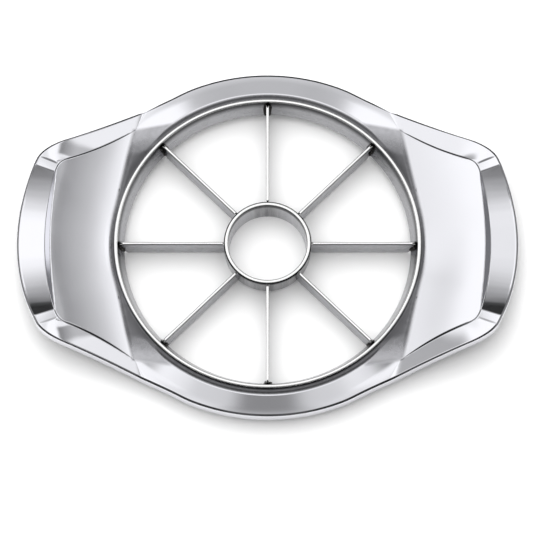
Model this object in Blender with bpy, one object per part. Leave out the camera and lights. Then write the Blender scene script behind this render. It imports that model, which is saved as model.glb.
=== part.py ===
"""Apple slicer: a cast frame with two wing handles holds a steel hoop, eight blades and a core ring.

Metres, +Z up. The origin is the middle of the slicer, on the plane of its cutting edges, on which it
stands. +X runs out along one wing. The frame is a closed section carried round the ring: for each
direction the section's corners follow the outlines of the wing, the thumb pad and the ring.
"""
import math

import bmesh
import bpy
import numpy as np

MM = 0.001

# Cutting edges, blades and rims: heights are counted from the plane of the cutting edges
BLADE_COUNT = 8
BLADE_HEIGHT = 8.9 * MM
BLADE_THICKNESS = 1.0 * MM
BLADE_RECESS = 0.6 * MM
RIM_TOP = BLADE_HEIGHT + BLADE_RECESS
CLEARANCE = 0.3 * MM

# Hoop: a pressed ring with a rolled rim and a wall that narrows downwards
HOOP_RIM_INNER_RADIUS = 50.0 * MM
HOOP_TAPER = 2.3 * MM
NECK_RADIUS = HOOP_RIM_INNER_RADIUS - HOOP_TAPER
HOOP_RIM_WIDTH = 1.25 * MM
HOOP_RIM_DEPTH = 1.2 * MM
HOOP_DEPTH = 6.0 * MM
HOOP_WALL = 0.9 * MM
HOOP_STEPS = 96
SLOT_LENGTH = 3.2 * MM
SLOT_DEPTH_BELOW_RIM = 1.7 * MM

# Core ring: a short tube with a rolled rim and a ground lower edge
CORE_BORE_RADIUS = 12.75 * MM
CORE_FLARE = 0.45 * MM
CORE_WALL = 1.2 * MM
CORE_RIM_OVERHANG = 0.27 * MM
CORE_MOUTH_RADIUS = CORE_BORE_RADIUS + CORE_FLARE
CORE_WALL_RADIUS = CORE_MOUTH_RADIUS + CORE_WALL
CORE_RIM_RADIUS = CORE_WALL_RADIUS + CORE_RIM_OVERHANG
CORE_RIM_DEPTH = 1.1 * MM
CORE_EDGE_WIDTH = 0.35 * MM
CORE_EDGE_GRIND = 1.8 * MM
CORE_NOTCH_DEPTH = 3.0 * MM
CORE_NOTCH_REACH = 1.1 * MM
CORE_STEPS = 64

# Blades
BLADE_EDGE_WIDTH = 0.3 * MM
BLADE_GRIND = 1.8 * MM
BLADE_TOP_REACH = 0.5 * MM
BLADE_TOP_STOP = NECK_RADIUS + BLADE_TOP_REACH
BLADE_FOOT_INSET = 0.8 * MM
BLADE_FOOT_STOP = NECK_RADIUS - BLADE_FOOT_INSET

# Weld beads in the corners between a blade and the hoop
WELD_SIZE = 1.1 * MM
WELD_TOP_DROP = 2.2 * MM
WELD_LENGTH = 3.4 * MM
WELD_GAP = 0.36 * MM
WELD_CORNER_COUNT = 4
WELD_SWELL_SHARES = ((0.0, 0.45), (0.25, 1.0), (0.75, 0.9), (1.0, 0.4))

# Frame outline, seen from above: each radius follows from the hoop that the frame holds
SEAT_GAP = 0.35 * MM
GROOVE_RADIUS = HOOP_RIM_INNER_RADIUS + HOOP_RIM_WIDTH + SEAT_GAP
CREST_WIDTH = 1.3 * MM
CREST_RADIUS = GROOVE_RADIUS + CREST_WIDTH
BODY_BAND_WIDTH = 7.7 * MM
BODY_RADIUS = CREST_RADIUS + BODY_BAND_WIDTH
WING_LENGTH = 23.0 * MM
WING_REACH = BODY_RADIUS + WING_LENGTH
WING_TIP_RADIUS = 83.0 * MM
FLANK_FACING = 65.0
OUTLINE_CORNER = 5.5 * MM

# Frame heights, below the rim's top where positive names say drop
GROOVE_DROP = 1.9 * MM
GROOVE_SLOPE_SHARE = 0.12
BODY_EDGE_DROP = 2.3 * MM
WING_LIFT = 5.6 * MM
PAD_LIFT = 5.9 * MM

# Thumb pad, seen from above
END_BAND_WIDTH = 11.6 * MM
PAD_REACH = WING_REACH - END_BAND_WIDTH
PAD_END_RADIUS = 98.0 * MM
PAD_FLANK_FACING = 64.0
FLANK_BAND_WIDTH = 6.2 * MM
PAD_FLANK_OFFSET = BODY_RADIUS - FLANK_BAND_WIDTH
PAD_CORNER = 3.0 * MM
PAD_RING_STEP = 0.7 * MM
PAD_RING_RADIUS = CREST_RADIUS + PAD_RING_STEP
PAD_SHOULDER_FACING = 10.0
PAD_SHOULDER_STEP = 1.5 * MM
PAD_SHOULDER_OFFSET = HOOP_RIM_INNER_RADIUS + PAD_SHOULDER_STEP
FACET_FACING = 81.0
FACET_INSET = 3.0 * MM
FACET_OFFSET = HOOP_RIM_INNER_RADIUS - FACET_INSET
SHOULDER_BLEND = 0.8 * MM
PAD_CORNER_ANGLE = 40.5
PAD_CORNER_FADE = 3.0
PAD_STEP_WIDTH = 1.2 * MM
SHOULDER_WIDTH = 1.7 * MM
PAD_ROLL_LENGTH = 9.0 * MM
PAD_ROLL_DROP = 1.7 * MM
PAD_RISE_SHARE = 0.30
PAD_SLOPE_SHARE = 0.55
PAD_SWEEP_SHARE = 0.15
PAD_ROW_SHARES = (0.12, 0.35, 0.68, 1.0)

# Frame walls
FRAME_WALL = 2.0 * MM
FRAME_SIDE = 4.0 * MM
EDGE_ROUND = 0.5 * MM
CASTING_DRAFT = 0.6 * MM
QUARTER_STEPS = 45
WIDEST_TURN = 75.0

# Height of the outline's edge and of the band's inner edge, as shares of WING_LIFT above the body's
# edge, at shares of a quarter turn from the wing's axis
EDGE_ANGLE_SHARES = (0.0, 0.105, 0.19, 0.255, 0.33, 0.40, 0.49, 0.61, 1.0)
EDGE_LIFT_SHARES = (0.27, 0.38, 0.70, 1.0, 0.75, 0.43, 0.16, 0.02, 0.0)
FOOT_ANGLE_SHARES = (0.0, 0.22, 0.26, 0.34, 0.45, 0.52, 0.60, 1.0)
FOOT_LIFT_SHARES = (0.91, 0.86, 0.68, 0.36, -0.12, 0.06, 0.20, 0.20)


def smooth(share):
    """S-shaped step from 0 to 1."""
    share = np.clip(share, 0.0, 1.0)
    return share * share * (3.0 - 2.0 * share)


def soft_min(first, second, blend):
    """The smaller of two lengths, rounded over where they cross."""
    gap = np.maximum(blend - np.abs(first - second), 0.0) / blend
    return np.minimum(first, second) - gap * gap * blend / 4.0


def soft_max(first, second, blend):
    """The larger of two lengths, rounded over where they cross."""
    return -soft_min(-first, -second, blend)


def through_points(where, places, values):
    """Smooth curve through hand-set points: a cubic whose slopes never overshoot."""
    places = np.array(places)
    values = np.array(values)
    runs = np.diff(places)
    slopes = np.diff(values) / runs
    product = slopes[1:] * slopes[:-1]
    total = slopes[1:] + slopes[:-1]
    inner = np.where(product > 0, 2 * product / np.where(total == 0, 1.0, total), 0.0)
    tangents = np.concatenate(([0.0], inner, [0.0]))
    index = np.clip(np.searchsorted(places, where, side="right") - 1, 0, len(runs) - 1)
    share = np.clip((where - places[index]) / runs[index], 0.0, 1.0)
    rise = values[index + 1] - values[index]
    bend = tangents[index] * (1 - share) - tangents[index + 1] * share
    return values[index] + rise * share * share * (3 - 2 * share) + runs[index] * share * (1 - share) * bend


def to_line(angle, facing, offset):
    """Distance along a ray from the middle to a straight line that faces a given way."""
    turn = np.clip(np.abs(angle - math.radians(facing)), 0.0, math.radians(WIDEST_TURN))
    return offset / np.cos(turn)


def to_arc(angle, reach, radius):
    """Distance along a ray to an arc that crosses the wing's axis at reach."""
    middle = reach - radius
    return middle * np.cos(angle) + np.sqrt(radius ** 2 - (middle * np.sin(angle)) ** 2)


def wing_angle(turn):
    """Angle from the nearer wing's axis, 0 to a quarter turn."""
    return np.arctan2(np.abs(np.sin(turn)), np.abs(np.cos(turn)))


def outline_radius(angle):
    """Frame outline: round body, straight flank, rounded corner, wing tip on a long arc."""
    straight = to_line(angle, FLANK_FACING, BODY_RADIUS)
    flank = np.where(angle < math.radians(FLANK_FACING), straight, BODY_RADIUS)
    return soft_min(flank, to_arc(angle, WING_REACH, WING_TIP_RADIUS), OUTLINE_CORNER)


def shoulder_radius(angle):
    """Inner edge of the thumb pad, and past its corner the crest that runs back to the ring."""
    pad_line = to_line(angle, PAD_SHOULDER_FACING, PAD_SHOULDER_OFFSET)
    pad = soft_max(pad_line, PAD_RING_RADIUS + 0 * angle, SHOULDER_BLEND)
    facet_line = to_line(angle, FACET_FACING, FACET_OFFSET)
    crest = soft_max(facet_line, CREST_RADIUS + 0 * angle, SHOULDER_BLEND)
    return soft_min(pad, crest, SHOULDER_BLEND)


def pad_radius(angle):
    """Outer edge of the thumb pad: an arc across the wing, a flank, and the rounded corner between."""
    return soft_min(to_line(angle, PAD_FLANK_FACING, PAD_FLANK_OFFSET),
                    to_arc(angle, PAD_REACH, PAD_END_RADIUS), PAD_CORNER)


def pad_height(reach, depth):
    """Pad surface: rises outwards along the wing and rolls off towards the shoulder, depth inside it."""
    run = (reach - GROOVE_RADIUS) / (PAD_REACH - GROOVE_RADIUS)
    rise = PAD_LIFT * (PAD_RISE_SHARE + PAD_SLOPE_SHARE * run + PAD_SWEEP_SHARE * run * np.abs(run))
    roll = np.clip(1.0 - depth / PAD_ROLL_LENGTH, 0.0, 1.0) ** 2
    return RIM_TOP - BODY_EDGE_DROP + rise - PAD_ROLL_DROP * roll


def floor_height(radius):
    """Groove floor round the hoop, which falls gently outwards where it widens into a facet."""
    return RIM_TOP - GROOVE_DROP - GROOVE_SLOPE_SHARE * (radius - GROOVE_RADIUS)


def frame_section(angle):
    """Closed section of the frame for each angle from the wing axis: rows of radius and height."""
    share = angle / math.radians(90.0)
    outline = outline_radius(angle)
    shoulder = shoulder_radius(angle)
    step = PAD_STEP_WIDTH + 0 * angle
    on_pad = smooth((math.radians(PAD_CORNER_ANGLE) - angle) / math.radians(PAD_CORNER_FADE) + 0.5)
    pad = np.maximum(pad_radius(angle), shoulder + step / 2)
    pad = np.minimum(pad, outline - 3 * FRAME_WALL)
    foot = pad + step
    edge_z = RIM_TOP - BODY_EDGE_DROP + WING_LIFT * through_points(share, EDGE_ANGLE_SHARES, EDGE_LIFT_SHARES)
    foot_z = RIM_TOP - BODY_EDGE_DROP + WING_LIFT * through_points(share, FOOT_ANGLE_SHARES, FOOT_LIFT_SHARES)

    def band(radius):
        return foot_z + (edge_z - foot_z) * (radius - foot) / (outline - foot)

    def pad_z(radius):
        return pad_height(radius * np.cos(angle), radius - shoulder)

    wall = SHOULDER_WIDTH + (CREST_RADIUS - GROOVE_RADIUS - SHOULDER_WIDTH) * (1 - on_pad)
    toe = np.maximum(shoulder - wall, GROOVE_RADIUS + CLEARANCE / 2)
    shoulder_z = on_pad * pad_z(shoulder) + (1 - on_pad) * band(shoulder)
    across = [shoulder + (pad - shoulder) * row_share for row_share in PAD_ROW_SHARES]
    top = [(row, on_pad * pad_z(row) + (1 - on_pad) * band(row)) for row in across]
    bore_top = bore_radius(RIM_TOP - GROOVE_DROP)
    bore_foot = bore_radius(RIM_TOP - HOOP_DEPTH)
    side_foot = edge_z - FRAME_SIDE
    inner_foot = RIM_TOP - HOOP_DEPTH + 0 * angle
    pocket_in = GROOVE_RADIUS + FRAME_WALL / 2
    pocket_out = outline - FRAME_WALL
    pocket_mid = (pad + outline) / 2 - FRAME_WALL / 2
    ceiling_in = floor_height(pocket_in) - FRAME_WALL
    rows = [
        (bore_foot + 0 * angle, inner_foot),
        (bore_top + 0 * angle, RIM_TOP - GROOVE_DROP + 0 * angle),
        (GROOVE_RADIUS + 0 * angle, RIM_TOP - GROOVE_DROP + 0 * angle),
        (toe, floor_height(toe)),
        (shoulder, shoulder_z),
        *top,
        (foot, foot_z),
        ((foot + outline) / 2, band((foot + outline) / 2)),
        (outline - EDGE_ROUND, band(outline - EDGE_ROUND)),
        (outline, edge_z - EDGE_ROUND),
        (outline, side_foot + EDGE_ROUND),
        (outline - EDGE_ROUND, side_foot),
        (outline - FRAME_WALL + EDGE_ROUND, side_foot),
        (pocket_out - CASTING_DRAFT / 2, np.minimum(edge_z, foot_z) - FRAME_WALL),
        (np.maximum(pocket_mid, pocket_in + CASTING_DRAFT), np.minimum(edge_z, foot_z) - FRAME_WALL),
        (pocket_in + CASTING_DRAFT + 0 * angle, ceiling_in + 0 * angle),
        (pocket_in - CASTING_DRAFT + 0 * angle, inner_foot),
    ]
    return np.array([row[0] for row in rows]), np.array([row[1] for row in rows])


def bore_radius(height):
    """Frame bore that carries the hoop: the hoop's outer wall plus a clearance."""
    return hoop_wall_radius(height) + HOOP_WALL_ACROSS + CLEARANCE


def hoop_wall_radius(height):
    """Inner face of the hoop's wall, narrowing from the rim to the neck."""
    share = (RIM_TOP - HOOP_RIM_DEPTH / 2 - height) / (HOOP_DEPTH - HOOP_RIM_DEPTH / 2)
    return HOOP_RIM_INNER_RADIUS + (NECK_RADIUS - HOOP_RIM_INNER_RADIUS) * share


HOOP_WALL_ACROSS = HOOP_WALL / math.cos(math.atan2(HOOP_RIM_INNER_RADIUS - NECK_RADIUS,
                                                   HOOP_DEPTH - HOOP_RIM_DEPTH / 2))


def metal(name, colour, roughness):
    """Metal finish shared by the pieces of one kind."""
    finish = bpy.data.materials.new(name)
    finish.use_nodes = True
    shader = finish.node_tree.nodes["Principled BSDF"]
    shader.inputs["Base Color"].default_value = (*colour, 1.0)
    shader.inputs["Roughness"].default_value = roughness
    shader.inputs["Metallic"].default_value = 1.0
    return finish


def add_piece(name, points, faces, finish, sharp=30.0):
    """Turn points and faces into a named piece, shaded smooth across shallow edges."""
    mesh = bpy.data.meshes.new(name)
    mesh.from_pydata([tuple(point) for point in points], [], faces)
    working = bmesh.new()
    working.from_mesh(mesh)
    bmesh.ops.recalc_face_normals(working, faces=working.faces)
    working.to_mesh(mesh)
    working.free()
    mesh.shade_smooth()
    mesh.set_sharp_from_angle(angle=math.radians(sharp))
    mesh.materials.append(finish)
    piece = bpy.data.objects.new(name, mesh)
    bpy.context.scene.collection.objects.link(piece)
    return piece


def ring_faces(turns, rows):
    """Quads of a closed section carried round a closed ring."""
    return [(turn * rows + row, ((turn + 1) % turns) * rows + row,
             ((turn + 1) % turns) * rows + (row + 1) % rows, turn * rows + (row + 1) % rows)
            for turn in range(turns) for row in range(rows)]


def turned(name, section, steps, finish):
    """Closed section of radius and height pairs turned round the Z axis."""
    turns = np.arange(steps) * 2 * math.pi / steps
    section = np.array(section)
    radius, height = np.meshgrid(turns, section[:, 0], indexing="ij")[1], np.tile(section[:, 1], (steps, 1))
    points = np.stack([radius * np.cos(turns)[:, None], radius * np.sin(turns)[:, None], height], axis=-1)
    return add_piece(name, points.reshape(-1, 3), ring_faces(steps, len(section)), finish)


def cut(piece, cutter):
    """Take the cutter out of the piece and keep the cutter as a hidden guide."""
    cutter.hide_render = True
    cutter.display_type = "WIRE"
    boolean = piece.modifiers.new("cut_" + cutter.name, "BOOLEAN")
    boolean.operation = "DIFFERENCE"
    boolean.solver = "EXACT"
    boolean.object = cutter


def make_frame(finish):
    """Die-cast frame: ring, two wings with raised thumb pads, hollow underneath."""
    turns = np.arange(4 * QUARTER_STEPS) * math.pi / 2 / QUARTER_STEPS
    radius, height = frame_section(wing_angle(turns))
    points = np.stack([radius * np.cos(turns), radius * np.sin(turns), height], axis=-1).transpose(1, 0, 2)
    faces = ring_faces(len(turns), len(radius))
    return add_piece("frame", points.reshape(-1, 3), faces, finish, sharp=14.0)


def slot_blocks(name, inner, outer, bottom, top, width):
    """Eight upright blocks, one at each blade, as one cutter."""
    points = []
    faces = []
    for number in range(BLADE_COUNT):
        turn = number * 2 * math.pi / BLADE_COUNT
        along = np.array([math.cos(turn), math.sin(turn), 0.0])
        across = np.array([-math.sin(turn), math.cos(turn), 0.0])
        first = len(points)
        for height in (bottom, top):
            for reach, side in ((inner, -1), (outer, -1), (outer, 1), (inner, 1)):
                points.append(along * reach + across * side * width / 2 + np.array([0.0, 0.0, height]))
        faces += [tuple(first + corner for corner in face) for face in
                  ((3, 2, 1, 0), (4, 5, 6, 7), (0, 1, 5, 4), (1, 2, 6, 5), (2, 3, 7, 6), (3, 0, 4, 7))]
    return add_piece(name, points, faces, bpy.data.materials["guide"])


def make_hoop(finish):
    """Pressed steel hoop: rolled rim on top, wall narrowing to the neck, a slot for each blade tab."""
    rim_outer = HOOP_RIM_INNER_RADIUS + HOOP_RIM_WIDTH
    rim_foot = RIM_TOP - HOOP_RIM_DEPTH
    curl = HOOP_RIM_WIDTH / 3
    foot = RIM_TOP - HOOP_DEPTH
    section = [
        (NECK_RADIUS, foot),
        (HOOP_RIM_INNER_RADIUS, RIM_TOP - HOOP_RIM_DEPTH / 2),
        (HOOP_RIM_INNER_RADIUS + curl / 4, RIM_TOP - curl / 2),
        (HOOP_RIM_INNER_RADIUS + curl, RIM_TOP),
        (rim_outer - curl, RIM_TOP),
        (rim_outer - curl / 4, RIM_TOP - curl / 2),
        (rim_outer, RIM_TOP - HOOP_RIM_DEPTH / 2),
        (hoop_wall_radius(rim_foot) + HOOP_WALL_ACROSS, rim_foot),
        (NECK_RADIUS + HOOP_WALL_ACROSS, foot),
    ]
    hoop = turned("blade_hoop", section[::-1], HOOP_STEPS, finish)
    slot_top = RIM_TOP - SLOT_DEPTH_BELOW_RIM
    cut(hoop, slot_blocks("hoop_slots", NECK_RADIUS - HOOP_RIM_WIDTH, rim_outer + HOOP_RIM_WIDTH,
                          slot_top - SLOT_LENGTH, slot_top, BLADE_THICKNESS + 2 * CLEARANCE))
    return hoop


def make_core_ring(finish):
    """Coring tube: rolled rim, ground cutting edge, a notch in the rim for each blade."""
    curl = (CORE_RIM_RADIUS - CORE_MOUTH_RADIUS) / 4
    section = [
        (CORE_BORE_RADIUS, 0.0),
        (CORE_MOUTH_RADIUS, RIM_TOP - curl),
        (CORE_MOUTH_RADIUS + curl, RIM_TOP),
        (CORE_RIM_RADIUS - curl, RIM_TOP),
        (CORE_RIM_RADIUS, RIM_TOP - curl),
        (CORE_RIM_RADIUS, RIM_TOP - CORE_RIM_DEPTH + curl),
        (CORE_WALL_RADIUS, RIM_TOP - CORE_RIM_DEPTH),
        (CORE_WALL_RADIUS, CORE_EDGE_GRIND),
        (CORE_BORE_RADIUS + CORE_EDGE_WIDTH, 0.0),
    ]
    core = turned("core_ring", section[::-1], CORE_STEPS, finish)
    cut(core, slot_blocks("core_notches", CORE_RIM_RADIUS - CORE_NOTCH_REACH, CORE_RIM_RADIUS + CLEARANCE,
                          RIM_TOP - CORE_NOTCH_DEPTH, RIM_TOP + CLEARANCE, BLADE_THICKNESS + 2 * CLEARANCE))
    return core


def blade_outline():
    """Blade seen from its side: reach and height pairs, from the cutting edge round to the core tab."""
    top = RIM_TOP - BLADE_RECESS
    tab_top = RIM_TOP - SLOT_DEPTH_BELOW_RIM - CLEARANCE
    tab_foot = RIM_TOP - SLOT_DEPTH_BELOW_RIM - SLOT_LENGTH + CLEARANCE
    shy = CLEARANCE / math.cos(math.atan2(HOOP_RIM_INNER_RADIUS - NECK_RADIUS, HOOP_DEPTH))
    core_side = CORE_WALL_RADIUS + CLEARANCE
    core_tab = CORE_RIM_RADIUS - CORE_NOTCH_REACH + CLEARANCE
    return [
        (core_side, BLADE_GRIND),
        (BLADE_FOOT_STOP, BLADE_GRIND),
        (NECK_RADIUS - shy, RIM_TOP - HOOP_DEPTH),
        (hoop_wall_radius(tab_foot) - shy, tab_foot),
        (hoop_wall_radius(tab_foot) + HOOP_WALL_ACROSS, tab_foot),
        (hoop_wall_radius(tab_top) + HOOP_WALL_ACROSS, tab_top),
        (hoop_wall_radius(tab_top) - shy - BLADE_THICKNESS / 2, tab_top),
        (BLADE_TOP_STOP, top),
        (core_tab, top),
        (core_tab, RIM_TOP - CORE_NOTCH_DEPTH + CLEARANCE),
        (core_side, RIM_TOP - CORE_NOTCH_DEPTH + CLEARANCE),
    ]


def make_blade(number, finish):
    """Stamped blade with a ground lower edge, a tab for the hoop slot and one for the core notch."""
    outline = blade_outline()
    turn = (number - 1) * 2 * math.pi / BLADE_COUNT
    half = BLADE_THICKNESS / 2
    edge = BLADE_EDGE_WIDTH / 2
    count = len(outline)
    flat = [(reach, side * half, height) for side in (-1, 1) for reach, height in outline]
    ground = [(reach, side * edge, 0.0) for side in (-1, 1) for reach, _ in outline[:2]]
    points = [(x * math.cos(turn) - y * math.sin(turn), x * math.sin(turn) + y * math.cos(turn), z)
              for x, y, z in flat + ground]
    faces = [tuple(range(count)), tuple(count + corner for corner in reversed(range(count)))]
    faces += [(corner + 1, corner, count + corner, count + corner + 1) for corner in range(1, count - 1)]
    faces.append((0, count - 1, 2 * count - 1, count))
    near, far = 2 * count, 2 * count + 2
    faces += [(near, near + 1, 1, 0), (far + 1, far, count, count + 1), (near + 1, near, far, far + 1),
              (near, 0, count, far), (near + 1, far + 1, count + 1, 1)]
    return add_piece("blade_%d" % number, points, faces, finish, sharp=20.0)


def make_weld(number, side, finish):
    """Weld bead in the corner between one side of a blade's end and the hoop's wall."""
    turn = (number - 1) * 2 * math.pi / BLADE_COUNT
    top = RIM_TOP - WELD_TOP_DROP
    foot = top - WELD_LENGTH
    near = side * (BLADE_THICKNESS / 2 + CLEARANCE)
    far = near + side * WELD_SIZE
    points = []
    for level_share, swell_share in WELD_SWELL_SHARES:
        height = foot + WELD_LENGTH * level_share
        swell = WELD_SIZE * swell_share
        points += [
            (weld_wall(height, near), near, height),
            (weld_wall(height, near + side * swell), near + side * swell, height),
            (weld_wall(height, far) - swell / 2, near + side * swell / 2, height),
            (weld_wall(height, near) - swell, near, height),
        ]
    points = [(x * math.cos(turn) - y * math.sin(turn), x * math.sin(turn) + y * math.cos(turn), z)
              for x, y, z in points]
    ring = WELD_CORNER_COUNT
    faces = []
    for level in range(len(WELD_SWELL_SHARES) - 1):
        for corner in range(ring):
            first = level * ring + corner
            second = level * ring + (corner + 1) % ring
            faces.append((first, second, second + ring, first + ring))
    last = len(points) - ring
    faces += [tuple(reversed(range(ring))), tuple(range(last, last + ring))]
    return add_piece("weld_%d_%s" % (number, "right" if side < 0 else "left"), points, faces, finish)


def weld_wall(height, side):
    """Reach of the hoop's inner wall beside a blade, less the clearance."""
    wall = hoop_wall_radius(height) * math.cos(math.pi / HOOP_STEPS)
    return math.sqrt(wall ** 2 - side ** 2) - WELD_GAP


for old in list(bpy.data.objects):
    bpy.data.objects.remove(old, do_unlink=True)

bpy.data.materials.new("guide")
chrome = metal("polished_cast_metal", (0.80, 0.80, 0.81), 0.08)
steel = metal("polished_steel", (0.72, 0.72, 0.73), 0.18)
blade_steel = metal("blade_steel", (0.66, 0.66, 0.68), 0.25)
weld_metal = metal("dark_weld", (0.06, 0.055, 0.05), 0.5)

make_frame(chrome)
make_hoop(steel)
make_core_ring(steel)
for blade_number in range(1, BLADE_COUNT + 1):
    make_blade(blade_number, blade_steel)
    make_weld(blade_number, -1, weld_metal)
    make_weld(blade_number, 1, weld_metal)
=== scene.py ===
"""Looks of a hand-pressed apple slicer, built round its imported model.

Metres, +Z up, in the model's own frame: the slicer stands on its cutting edges at z = 0, and +X runs
out along one wing. Each section below makes one piece, or one group of like pieces.
"""
import math

import bpy
import numpy as np
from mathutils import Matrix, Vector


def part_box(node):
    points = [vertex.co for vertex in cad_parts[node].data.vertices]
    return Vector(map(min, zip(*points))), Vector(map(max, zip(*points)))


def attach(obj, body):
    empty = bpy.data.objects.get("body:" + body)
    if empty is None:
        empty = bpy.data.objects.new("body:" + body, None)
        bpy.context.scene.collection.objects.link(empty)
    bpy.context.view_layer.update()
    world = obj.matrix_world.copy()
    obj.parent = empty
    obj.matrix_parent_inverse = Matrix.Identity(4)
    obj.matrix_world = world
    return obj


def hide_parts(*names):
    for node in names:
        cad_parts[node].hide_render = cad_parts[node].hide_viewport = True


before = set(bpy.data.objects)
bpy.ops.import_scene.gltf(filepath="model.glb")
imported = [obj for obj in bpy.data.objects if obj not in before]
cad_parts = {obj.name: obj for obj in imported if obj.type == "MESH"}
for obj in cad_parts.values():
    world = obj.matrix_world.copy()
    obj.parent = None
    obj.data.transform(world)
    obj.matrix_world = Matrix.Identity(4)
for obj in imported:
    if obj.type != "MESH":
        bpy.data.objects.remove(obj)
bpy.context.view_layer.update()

# Camera: a long lens looks down at the slicer from the front, 70 degrees above the table, so that
# both wings and all the wedges show and the picture has almost no perspective.
IMAGE_WIDTH = 533
PIXELS_PER_METRE = 3000.0
MIDDLE_PIXEL = (267.6, 242.6)
CAMERA_ELEVATION = math.radians(70.0)
CAMERA_DISTANCE = 4.0
SENSOR_WIDTH = 36.0
RIM_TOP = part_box("blade_hoop")[1].z

camera = bpy.data.cameras.new("camera")
camera.sensor_width = SENSOR_WIDTH
camera.lens = SENSOR_WIDTH * CAMERA_DISTANCE / (IMAGE_WIDTH / PIXELS_PER_METRE)
camera.clip_end = 5 * CAMERA_DISTANCE
camera_object = bpy.data.objects.new("camera", camera)
aim = np.array([0.0, 0.0, RIM_TOP])
picture_up = np.array([0.0, math.sin(CAMERA_ELEVATION), math.cos(CAMERA_ELEVATION)])
to_camera = np.array([0.0, -math.cos(CAMERA_ELEVATION), math.sin(CAMERA_ELEVATION)])
aim += picture_up * (MIDDLE_PIXEL[1] - IMAGE_WIDTH / 2) / PIXELS_PER_METRE
aim[0] -= (MIDDLE_PIXEL[0] - IMAGE_WIDTH / 2) / PIXELS_PER_METRE
camera_object.location = aim + to_camera * CAMERA_DISTANCE
camera_object.rotation_euler = (math.pi / 2 - CAMERA_ELEVATION, 0.0, 0.0)
bpy.context.scene.collection.objects.link(camera_object)
bpy.context.scene.camera = camera_object
bpy.context.scene.view_settings.view_transform = "Standard"


# Studio: soft lights overhead, dark cloth low down and in the far corners, and pale paper under the
# slicer. Polished metal shows what stands round it, so the world holds the studio, laid out by the X
# and Y of the direction that is looked along.
# Four strips of lights from the middle outwards, each as (Y, level), the level of the brightest, and
# the distances from the middle over which each strip gives way to the next.
CENTRE_STOPS = ((-1.0, 0.03), (-0.60, 0.06), (-0.20, 0.12), (0.04, 0.20), (0.107, 0.245), (0.16, 0.40),
                (0.25, 1.0), (0.40, 1.0), (0.52, 0.60), (0.577, 0.48), (0.64, 0.40), (0.72, 0.08))
END_STOPS = ((-1.0, 0.03), (-0.60, 0.08), (-0.36, 0.16), (-0.267, 0.24), (-0.196, 0.29), (-0.122, 0.35),
             (-0.027, 0.42), (0.053, 0.52), (0.116, 0.64), (0.173, 0.75), (0.22, 0.93), (0.27, 1.0),
             (0.38, 1.0), (0.415, 0.94), (0.452, 0.84), (0.478, 0.73), (0.504, 0.61), (0.555, 0.49),
             (0.601, 0.36), (0.663, 0.30), (0.731, 0.20), (0.78, 0.05), (0.84, 0.015))
OUTER_STOPS = ((-1.0, 0.03), (-0.60, 0.08), (-0.267, 0.24), (-0.122, 0.35), (-0.027, 0.42), (0.053, 0.52),
               (0.10, 0.66), (0.145, 0.93), (0.34, 1.0), (0.545, 1.0), (0.60, 0.55), (0.663, 0.34),
               (0.731, 0.20), (0.78, 0.05), (0.84, 0.015))
SIDE_STOPS = ((-1.0, 0.02), (-0.30, 0.05), (-0.15, 0.14), (0.0, 0.24), (0.09, 0.36), (0.17, 0.60),
              (0.26, 0.88), (0.36, 1.0), (0.41, 0.85), (0.46, 0.55), (0.51, 0.34), (0.57, 0.14), (0.64, 0.02))
BRIGHTEST = 1.15
STRIP_EDGES = ((0.03, 0.065), (0.10, 0.125), (0.17, 0.26))
# Ovals that dim the lights, as (X, Y, half width, half depth, level), named for the part of the casting
# that they show on from the front.
SOUTH_EAST_FLANK = (-0.32, 0.46, 0.14, 0.12, 0.45)
SOUTH_EAST_SHADE = (0.19, 0.06, 0.07, 0.14, 0.45)
SOUTH_EAST_TIP = (0.178, 0.18, 0.036, 0.05, 0.20)
SOUTH_WEST_TIP = (-0.178, 0.18, 0.030, 0.05, 0.42)
EAST_BAND = (0.065, 0.34, 0.06, 0.24, 0.80)
EAST_PAD = (-0.50, 0.342, 0.24, 0.10, 0.88)
# A blind across the east: its middle Y, its half depth with and without the soft edge, and its levels
# as (X, level).
BLIND_MIDDLE = 0.342
BLIND_HALF = (0.062, 0.034)
BLIND_STOPS = ((0.0, 1.0), (0.200, 1.0), (0.222, 0.20), (0.234, 0.24), (0.278, 0.345), (0.318, 0.425),
               (0.359, 0.51), (0.389, 0.61), (0.412, 0.73), (0.428, 0.85), (0.444, 1.0))
# Low cloth: the Z over which it ends, how much lower it ends per unit of X towards the west, its
# levels in the middle and at the sides, and the distances from the middle between these.
LOW_CLOTH = (0.52, 0.58)
WEST_OPENING = 0.12
LOW_CLOTH_LEVEL = 0.03
LOW_SIDE_LEVEL = 0.22
LOW_SIDE_FROM = (0.55, 0.80)
# Dull surfaces get a plain light of their own: its level, and its rise along X, Y and Z.
AMBIENT_LEVEL = 0.28
AMBIENT_SLANT = (-0.34, 0.72, 1.5)
# A weak, wide lamp gives the slicer its soft shadow on the paper.
KEY_STRENGTH = 0.4
KEY_SOFTNESS = math.radians(42.0)
KEY_TILT = (math.radians(-44.0), math.radians(-12.0), 0.0)
FLOOR_COLOUR = (1.0, 1.0, 1.0)
FLOOR_SIZE = 6.0


def feed(tree, value, socket):
    """Give a socket its value: another socket, or plain numbers."""
    if isinstance(value, bpy.types.NodeSocket):
        tree.links.new(value, socket)
    else:
        socket.default_value = value


def split_axes(tree, vector):
    """X, Y and Z of a vector, by name."""
    node = tree.nodes.new("ShaderNodeSeparateXYZ")
    feed(tree, vector, node.inputs["Vector"])
    return node.outputs


def ramp(tree, source, stops, interpolation="EASE"):
    """Grey level that runs through stops, (place from 0 to 1, level), as the source goes from 0 to 1."""
    node = tree.nodes.new("ShaderNodeValToRGB")
    node.color_ramp.interpolation = interpolation
    elements = node.color_ramp.elements
    while len(elements) < len(stops):
        elements.new(0.5)
    for element, (place, level) in zip(elements, stops):
        element.position = place
        element.color = (level, level, level, 1.0)
    feed(tree, source, node.inputs["Fac"])
    return node.outputs["Color"]


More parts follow.
